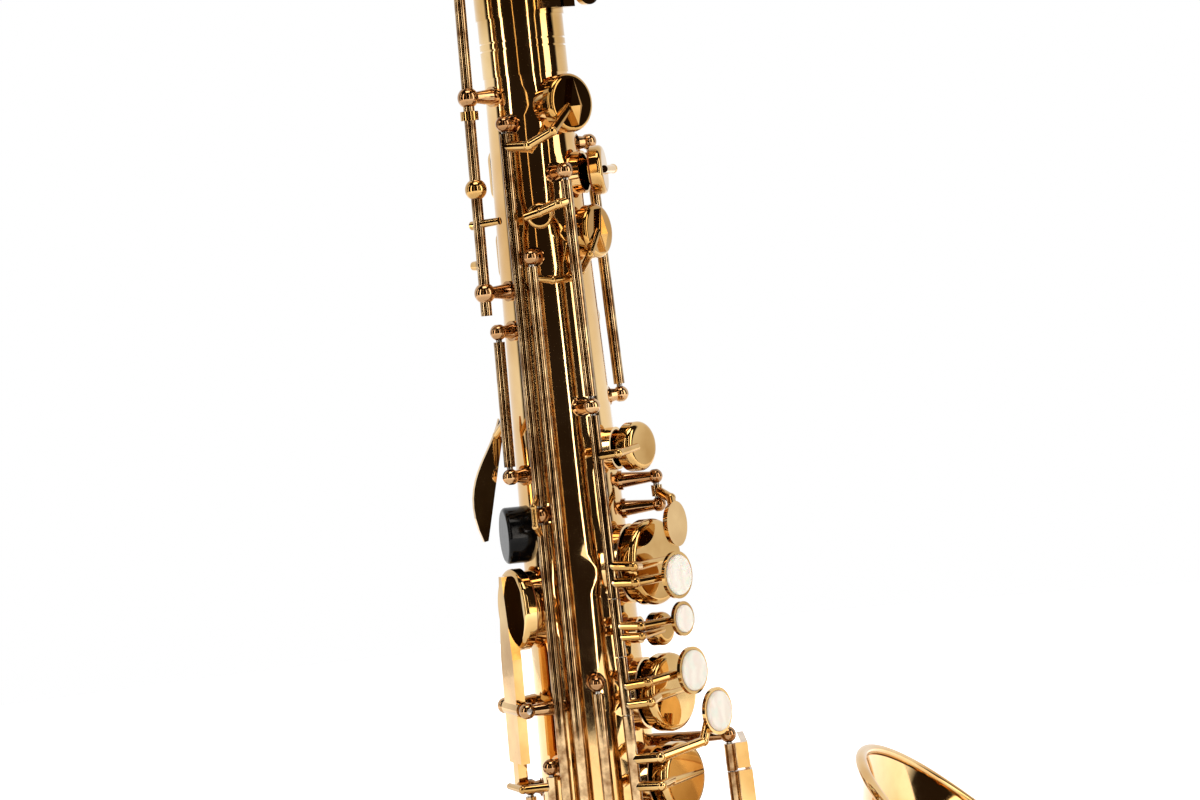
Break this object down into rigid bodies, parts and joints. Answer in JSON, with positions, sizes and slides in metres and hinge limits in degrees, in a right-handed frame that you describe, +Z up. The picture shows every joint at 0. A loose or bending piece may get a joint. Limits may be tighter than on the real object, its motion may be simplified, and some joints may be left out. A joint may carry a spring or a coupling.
{
  "type": "curved soprano saxophone",
  "caption": "Curved soprano saxophone: conical brass tube with bow, upturned flared bell, swivelling neck, sliding mouthpiece and hinged key work that opens and closes its tone holes.",
  "frame": {"origin": "middle of the hole in the strap ring on the back of the body", "axes": "+Z up along the body axis towards the neck, +X to the front where the bell opens, +Y to the player's left"},
  "size_m": [0.2353, 0.094, 0.3914],
  "materials": {
    "brass": "clear gold lacquer, worn in places",
    "steel": "turned and polished",
    "pearl": "polished mother of pearl",
    "black": "polished hard rubber",
    "cork": "sanded and waxed",
    "cane": "planed",
    "felt": "pressed felt"
  },
  "bodies": {
    "body": {"body_tube": "brass", "bow": "brass", "bell": "brass", "bow_rings": "brass", "neck_receiver": "brass", "bell_brace": "brass", "key_posts": "brass", "hinge_rods": "steel", "thumb_rest": "black", "thumb_hook": "brass", "strap_ring": "brass", "key_guards": "brass", "guard_bumpers": "felt"},
    "clamp_screw": {"neck_screw": "brass"},
    "neck": {"neck_tube": "brass", "neck_tenon": "brass", "neck_posts": "brass", "neck_cork": "cork"},
    "neck_octave": {"neck_octave_key": "brass"},
    "mouthpiece": {"mouthpiece": "black", "ligature": "brass", "reed": "cane"},
    "ligature_screw": {"ligature_screw": "brass"},
    "b": {"b_key": "brass", "b_pearl": "pearl"},
    "bis": {"bis_key": "brass", "bis_pearl": "pearl"},
    "a": {"a_key": "brass", "a_pearl": "pearl"},
    "g": {"g_key": "brass", "g_pearl": "pearl"},
    "f": {"f_key": "brass", "f_pearl": "pearl"},
    "e": {"e_key": "brass", "e_pearl": "pearl"},
    "d": {"d_key": "brass", "d_pearl": "pearl"},
    "f_sharp": {"f_sharp_key": "brass"},
    "c_vent": {"c_vent_key": "brass"},
    "high_e": {"high_e_key": "brass"},
    "side_c": {"side_c_key": "brass"},
    "side_b_flat": {"side_b_flat_key": "brass"},
    "side_b_flat_lever": {"side_b_flat_lever": "brass"},
    "palm_d": {"palm_d_key": "brass"},
    "palm_e_flat": {"palm_e_flat_key": "brass"},
    "palm_f": {"palm_f_key": "brass"},
    "octave_thumb": {"octave_thumb_key": "brass"},
    "octave_rocker": {"octave_rocker": "brass"},
    "body_octave": {"body_octave_key": "brass"},
    "front_f": {"front_f_key": "brass"},
    "g_sharp": {"g_sharp_key": "brass"},
    "low_b_flat_lever": {"low_b_flat_lever": "brass"},
    "low_b_lever": {"low_b_lever": "brass"},
    "low_c_sharp_lever": {"low_c_sharp_lever": "brass"},
    "g_sharp_lever": {"g_sharp_lever": "brass"},
    "e_flat": {"e_flat_key": "brass"},
    "low_c": {"low_c_key": "brass"},
    "low_b": {"low_b_key": "brass"},
    "low_b_flat": {"low_b_flat_key": "brass"},
    "low_c_sharp": {"low_c_sharp_key": "brass"}
  },
  "joints": [
    {"name": "b_hinge", "type": "hinge", "parent": "body", "child": "b", "pos_m": [0.03598, -0.01658, 0.11395], "axis": [-0.0141, 0.0195, 0.9997], "range_deg": [0, 14], "stiffness_Nm_per_rad": 0.004, "springref_deg": -11.46},
    {"name": "bis_hinge", "type": "hinge", "parent": "body", "child": "bis", "pos_m": [0.03643, -0.0172, 0.08196], "axis": [-0.0141, 0.0195, 0.9997], "range_deg": [0, 14], "stiffness_Nm_per_rad": 0.002, "springref_deg": -11.46},
    {"name": "a_hinge", "type": "hinge", "parent": "body", "child": "a", "pos_m": [0.03664, -0.01749, 0.06696], "axis": [-0.0141, 0.0195, 0.9997], "range_deg": [0, 14], "stiffness_Nm_per_rad": 0.004, "springref_deg": -11.46},
    {"name": "g_hinge", "type": "hinge", "parent": "body", "child": "g", "pos_m": [0.03696, -0.01794, 0.04397], "axis": [-0.0141, 0.0195, 0.9997], "range_deg": [0, 14], "stiffness_Nm_per_rad": 0.004, "springref_deg": -11.46},
    {"name": "f_hinge", "type": "hinge", "parent": "body", "child": "f", "pos_m": [0.03746, -0.01862, 0.00898], "axis": [-0.0141, 0.0195, 0.9997], "range_deg": [0, 14], "stiffness_Nm_per_rad": 0.004, "springref_deg": -11.46},
    {"name": "e_hinge", "type": "hinge", "parent": "body", "child": "e", "pos_m": [0.03773, -0.01899, -0.01001], "axis": [-0.0141, 0.0195, 0.9997], "range_deg": [0, 14], "stiffness_Nm_per_rad": 0.004, "springref_deg": -11.46},
    {"name": "d_hinge", "type": "hinge", "parent": "body", "child": "d", "pos_m": [0.03794, -0.01928, -0.02501], "axis": [-0.0141, 0.0195, 0.9997], "range_deg": [0, 14], "stiffness_Nm_per_rad": 0.004, "springref_deg": -11.46},
    {"name": "f_sharp_hinge", "type": "hinge", "parent": "body", "child": "f_sharp", "pos_m": [0.02972, -0.01893, 0.03891], "axis": [-0.007, 0.023, 0.9997], "range_deg": [0, 9], "stiffness_Nm_per_rad": 0.001, "springref_deg": -11.46},
    {"name": "c_vent_hinge", "type": "hinge", "parent": "body", "child": "c_vent", "pos_m": [0.03809, 0.00885, 0.17588], "axis": [0.0204, 0.0127, -0.9997], "range_deg": [0, 9], "stiffness_Nm_per_rad": 0.001, "springref_deg": -11.46},
    {"name": "high_e_hinge", "type": "hinge", "parent": "body", "child": "high_e", "pos_m": [0.01903, -0.0171, 0.11389], "axis": [-0.0066, -0.0231, -0.9997], "range_deg": [0, 9], "stiffness_Nm_per_rad": 0.002, "springref_deg": -11.46},
    {"name": "side_c_hinge", "type": "hinge", "parent": "body", "child": "side_c", "pos_m": [0.02345, -0.01839, 0.08889], "axis": [-0.0006, -0.024, -0.9997], "range_deg": [0, 9], "stiffness_Nm_per_rad": 0.002, "springref_deg": -11.46},
    {"name": "side_b_flat_hinge", "type": "hinge", "parent": "body", "child": "side_b_flat", "pos_m": [0.00571, -0.01183, 0.06256], "axis": [0.5446, -0.8387, 0], "range_deg": [0, 8], "stiffness_Nm_per_rad": 0.008, "springref_deg": -17.19},
    {"name": "side_b_flat_lever_hinge", "type": "hinge", "parent": "body", "child": "side_b_flat_lever", "pos_m": [0.01414, -0.01766, 0.01391], "axis": [-0.0117, -0.021, -0.9997], "range_deg": [0, 14], "stiffness_Nm_per_rad": 0.001, "springref_deg": -11.46},
    {"name": "palm_d_hinge", "type": "hinge", "parent": "body", "child": "palm_d", "pos_m": [0.01596, 0.015, 0.16388], "axis": [0.0113, -0.0212, 0.9997], "range_deg": [0, 9], "stiffness_Nm_per_rad": 0.001, "springref_deg": -11.46},
    {"name": "palm_e_flat_hinge", "type": "hinge", "parent": "body", "child": "palm_e_flat", "pos_m": [0.01621, 0.01453, 0.18587], "axis": [0.0113, -0.0212, 0.9997], "range_deg": [0, 9], "stiffness_Nm_per_rad": 0.001, "springref_deg": -11.46},
    {"name": "palm_f_hinge", "type": "hinge", "parent": "body", "child": "palm_f", "pos_m": [0.01645, 0.01406, 0.20787], "axis": [0.0113, -0.0212, 0.9997], "range_deg": [0, 9], "stiffness_Nm_per_rad": 0.001, "springref_deg": -11.46},
    {"name": "octave_thumb_hinge", "type": "hinge", "parent": "body", "child": "octave_thumb", "pos_m": [0.01161, -0.01321, 0.1439], "axis": [-0.0164, -0.0176, -0.9997], "range_deg": [0, 7], "stiffness_Nm_per_rad": 0.001, "springref_deg": -11.46},
    {"name": "octave_rocker_hinge", "type": "hinge", "parent": "body", "child": "octave_rocker", "pos_m": [0.01033, -0.01459, 0.19896], "axis": [-0.0164, -0.0176, -0.9997], "range_deg": [0, 7], "stiffness_Nm_per_rad": 0.001, "springref_deg": -11.46},
    {"name": "body_octave_hinge", "type": "hinge", "parent": "body", "child": "body_octave", "pos_m": [0.03513, -0.01541, 0.17393], "axis": [-0.0141, 0.0195, 0.9997], "range_deg": [0, 7], "stiffness_Nm_per_rad": 0.001, "springref_deg": -11.46},
    {"name": "front_f_hinge", "type": "hinge", "parent": "body", "child": "front_f", "pos_m": [0.04728, 0.00204, 0.11622], "axis": [0.024, 0.0021, -0.9997], "range_deg": [0, 9], "stiffness_Nm_per_rad": 0.001, "springref_deg": -11.46},
    {"name": "g_sharp_hinge", "type": "hinge", "parent": "body", "child": "g_sharp", "pos_m": [0.00387, 0.0014, 0.02592], "axis": [-0.024, 0.0017, -0.9997], "range_deg": [0, 9], "stiffness_Nm_per_rad": 0.001, "springref_deg": -11.46},
    {"name": "low_b_flat_lever_hinge", "type": "hinge", "parent": "body", "child": "low_b_flat_lever", "pos_m": [0.05955, 0.00757, 0.0133], "axis": [-0.0235, -0.005, 0.9997], "range_deg": [0, 9], "stiffness_Nm_per_rad": 0.002, "springref_deg": -11.46},
    {"name": "low_b_lever_hinge", "type": "hinge", "parent": "body", "child": "low_b_lever", "pos_m": [0.05932, 0.00752, 0.0233], "axis": [-0.0235, -0.005, 0.9997], "range_deg": [0, 9], "stiffness_Nm_per_rad": 0.002, "springref_deg": -11.46},
    {"name": "low_c_sharp_lever_hinge", "type": "hinge", "parent": "body", "child": "low_c_sharp_lever", "pos_m": [0.05908, 0.00747, 0.0333], "axis": [-0.0235, -0.005, 0.9997], "range_deg": [0, 9], "stiffness_Nm_per_rad": 0.002, "springref_deg": -11.46},
    {"name": "g_sharp_lever_hinge", "type": "hinge", "parent": "body", "child": "g_sharp_lever", "pos_m": [0.05885, 0.00742, 0.0433], "axis": [-0.0235, -0.005, 0.9997], "range_deg": [0, 9], "stiffness_Nm_per_rad": 0.002, "springref_deg": -11.46},
    {"name": "e_flat_hinge", "type": "hinge", "parent": "body", "child": "e_flat", "pos_m": [0.01493, -0.0208, -0.03916], "axis": [0, 0, -1], "range_deg": [0, 9], "stiffness_Nm_per_rad": 0.002, "springref_deg": -11.46},
    {"name": "low_c_hinge", "type": "hinge", "parent": "body", "child": "low_c", "pos_m": [0.06693, -0.0245, -0.06316], "axis": [0, 0, -1], "range_deg": [0, 12], "stiffness_Nm_per_rad": 0.006, "springref_deg": -17.19},
    {"name": "low_b_hinge", "type": "hinge", "parent": "body", "child": "low_b", "pos_m": [0.08718, -0.025, -0.05419], "axis": [-0.7071, 0, -0.7071], "range_deg": [0, 12], "stiffness_Nm_per_rad": 0.006, "springref_deg": -17.19},
    {"name": "low_b_flat_hinge", "type": "hinge", "parent": "body", "child": "low_b_flat", "pos_m": [0.10556, -0.025, -0.03581], "axis": [-0.7071, 0, -0.7071], "range_deg": [0, 12], "stiffness_Nm_per_rad": 0.006, "springref_deg": -17.19},
    {"name": "low_c_sharp_hinge", "type": "hinge", "parent": "body", "child": "low_c_sharp", "pos_m": [0.06455, 0.0225, -0.03227], "axis": [0.7071, 0, 0.7071], "range_deg": [0, 9], "stiffness_Nm_per_rad": 0.004, "springref_deg": -17.19},
    {"name": "clamp_screw_turn", "type": "hinge", "parent": "body", "child": "clamp_screw", "pos_m": [0.0354, -0.00803, 0.25084], "axis": [0.5736, 0.8192, 0], "range_deg": [-90, 90]},
    {"name": "neck_swivel", "type": "hinge", "parent": "body", "child": "neck", "pos_m": [0.02393, 0, 0.24834], "axis": [0, 0, 1], "range_deg": [-40, 40]},
    {"name": "neck_octave_hinge", "type": "hinge", "parent": "neck", "child": "neck_octave", "pos_m": [0.03013, 0, 0.28786], "axis": [0, 1, 0], "range_deg": [0, 4], "stiffness_Nm_per_rad": 0.004, "springref_deg": -17.19},
    {"name": "mouthpiece_slide", "type": "slide", "parent": "neck", "child": "mouthpiece", "axis": [-0.9848, 0, 0.1736], "range_m": [-0.0012, 0.006]},
    {"name": "ligature_screw_turn", "type": "hinge", "parent": "mouthpiece", "child": "ligature_screw", "pos_m": [-0.03491, 0, 0.28885], "axis": [0, 1, 0], "range_deg": [-90, 90]}
  ],
  "couplings": [
    {"joint": "octave_rocker_hinge", "follows": "octave_thumb_hinge", "ratio": 1},
    {"joint": "body_octave_hinge", "follows": "octave_thumb_hinge", "ratio": 1},
    {"joint": "side_b_flat_hinge", "follows": "side_b_flat_lever_hinge", "ratio": 0.57143},
    {"joint": "c_vent_hinge", "follows": "a_hinge", "ratio": 0.64286},
    {"joint": "f_sharp_hinge", "follows": "f_hinge", "ratio": 0.64286},
    {"joint": "g_sharp_hinge", "follows": "g_sharp_lever_hinge", "ratio": 1},
    {"joint": "low_c_sharp_hinge", "follows": "low_c_sharp_lever_hinge", "ratio": 1},
    {"joint": "low_b_hinge", "follows": "low_b_lever_hinge", "ratio": 1.3333},
    {"joint": "low_b_flat_hinge", "follows": "low_b_flat_lever_hinge", "ratio": 1.3333}
  ]
}
